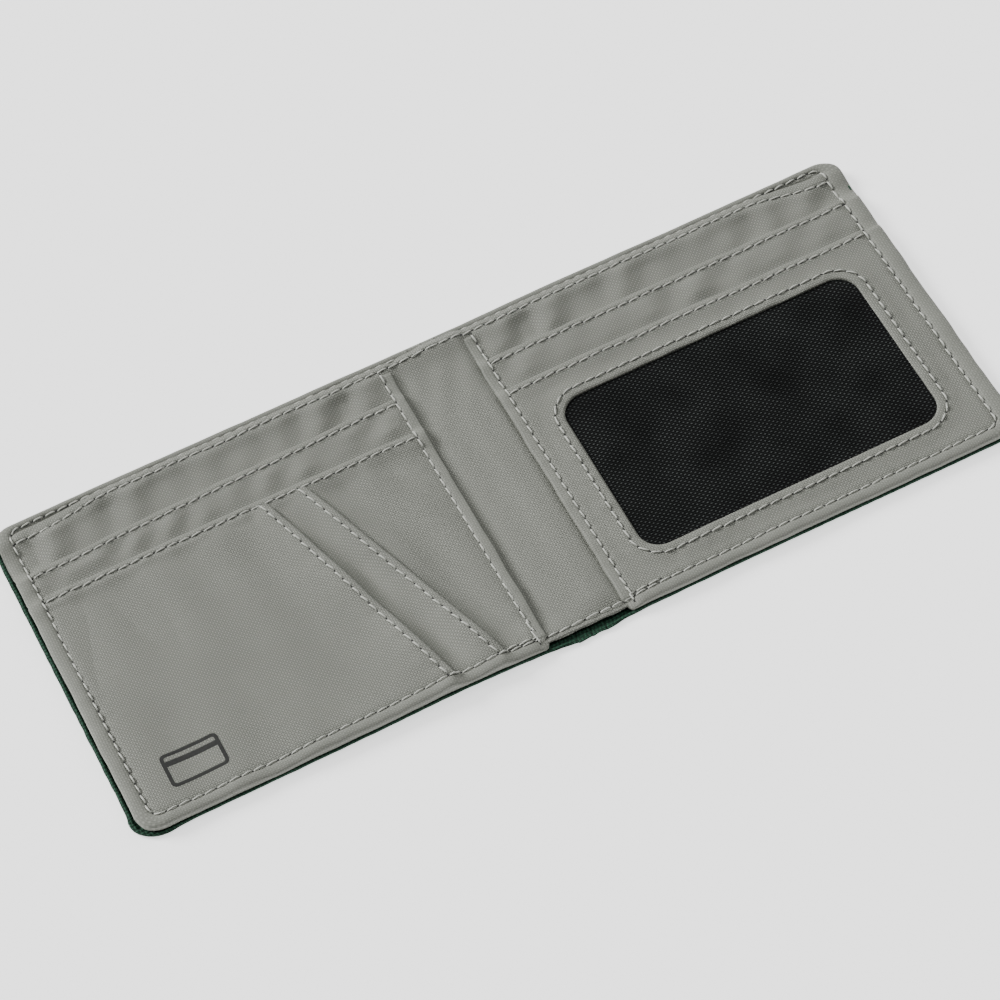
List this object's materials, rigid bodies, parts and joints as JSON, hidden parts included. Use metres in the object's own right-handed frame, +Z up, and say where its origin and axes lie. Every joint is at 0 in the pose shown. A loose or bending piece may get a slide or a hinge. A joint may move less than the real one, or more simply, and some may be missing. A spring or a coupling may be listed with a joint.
{
  "type": "bifold wallet",
  "caption": "Fabric bifold wallet lying open, with a full-length bill compartment, card slots with stitched hems, slanted quick-access pockets and a mesh identity window.",
  "frame": {"origin": "on the outer face, under the middle of the open wallet", "axes": "+X along the open wallet from the slanted-pocket half to the window half, +Y from the closed bottom edge to the mouth of the bill compartment, +Z up out of the pockets"},
  "size_m": [0.221, 0.091, 0.0034],
  "materials": {
    "shell_cloth": "coarse plain weave, matte",
    "lining_cloth": "fine plain-weave nylon, soft satin sheen",
    "shield_foil": "metallised nonwoven, satin",
    "window_mesh": "fine black knitted mesh",
    "sewing_thread": "twisted polyester thread, slight sheen",
    "print_ink": "matte screen print"
  },
  "bodies": {
    "left_half": {"bill_lining_left": "lining_cloth", "inner_edge_fold_left": "lining_cloth", "inner_panel_left": "lining_cloth", "lower_slot_panel_left": "lining_cloth", "outer_shell_left": "shell_cloth", "printed_card": "print_ink", "rfid_foil_left": "shield_foil", "seam_bottom_left": "sewing_thread", "seam_inner_edge_left": "sewing_thread", "seam_lower_slot_left": "sewing_thread", "seam_mouth_hem_left": "sewing_thread", "seam_side_left": "sewing_thread", "seam_slanted_front": "sewing_thread", "seam_slanted_rear": "sewing_thread", "seam_top_left": "sewing_thread", "seam_upper_slot_left": "sewing_thread", "slanted_panel_front": "lining_cloth", "slanted_panel_rear": "lining_cloth", "stack_backing_left": "lining_cloth", "turned_edge_bottom_left": "lining_cloth", "turned_edge_side_left": "lining_cloth", "turned_edge_top_left": "lining_cloth", "upper_slot_panel_left": "lining_cloth"},
    "spine_strip_1": {"bill_lining_spine_1": "lining_cloth", "inner_panel_spine_1": "lining_cloth", "outer_shell_spine_1": "shell_cloth"},
    "spine_strip_2": {"bill_lining_spine_2": "lining_cloth", "inner_panel_spine_2": "lining_cloth", "outer_shell_spine_2": "shell_cloth"},
    "spine_strip_3": {"bill_lining_spine_3": "lining_cloth", "inner_panel_spine_3": "lining_cloth", "outer_shell_spine_3": "shell_cloth"},
    "right_half": {"bill_lining_right": "lining_cloth", "id_window_mesh": "window_mesh", "inner_edge_fold_right": "lining_cloth", "inner_panel_right": "lining_cloth", "outer_shell_right": "shell_cloth", "rfid_foil_right": "shield_foil", "seam_bottom_right": "sewing_thread", "seam_inner_edge_right": "sewing_thread", "seam_mouth_hem_right": "sewing_thread", "seam_side_right": "sewing_thread", "seam_top_right": "sewing_thread", "seam_upper_slot_right": "sewing_thread", "seam_window": "sewing_thread", "seam_window_panel_hem": "sewing_thread", "stack_backing_right": "lining_cloth", "turned_edge_bottom_right": "lining_cloth", "turned_edge_side_right": "lining_cloth", "turned_edge_top_right": "lining_cloth", "upper_slot_panel_right": "lining_cloth", "window_frame_panel": "lining_cloth"}
  },
  "joints": [
    {"name": "fold_1", "type": "hinge", "parent": "left_half", "child": "spine_strip_1", "pos_m": [-0.0054, 0, 0.0005], "axis": [0, -1, 0], "range_deg": [0, 45]},
    {"name": "fold_2", "type": "hinge", "parent": "spine_strip_1", "child": "spine_strip_2", "pos_m": [-0.0018, 0, 0.0005], "axis": [0, -1, 0], "range_deg": [0, 45]},
    {"name": "fold_3", "type": "hinge", "parent": "spine_strip_2", "child": "spine_strip_3", "pos_m": [0.0018, 0, 0.0005], "axis": [0, -1, 0], "range_deg": [0, 45]},
    {"name": "fold_4", "type": "hinge", "parent": "spine_strip_3", "child": "right_half", "pos_m": [0.0054, 0, 0.0005], "axis": [0, -1, 0], "range_deg": [0, 45]}
  ]
}
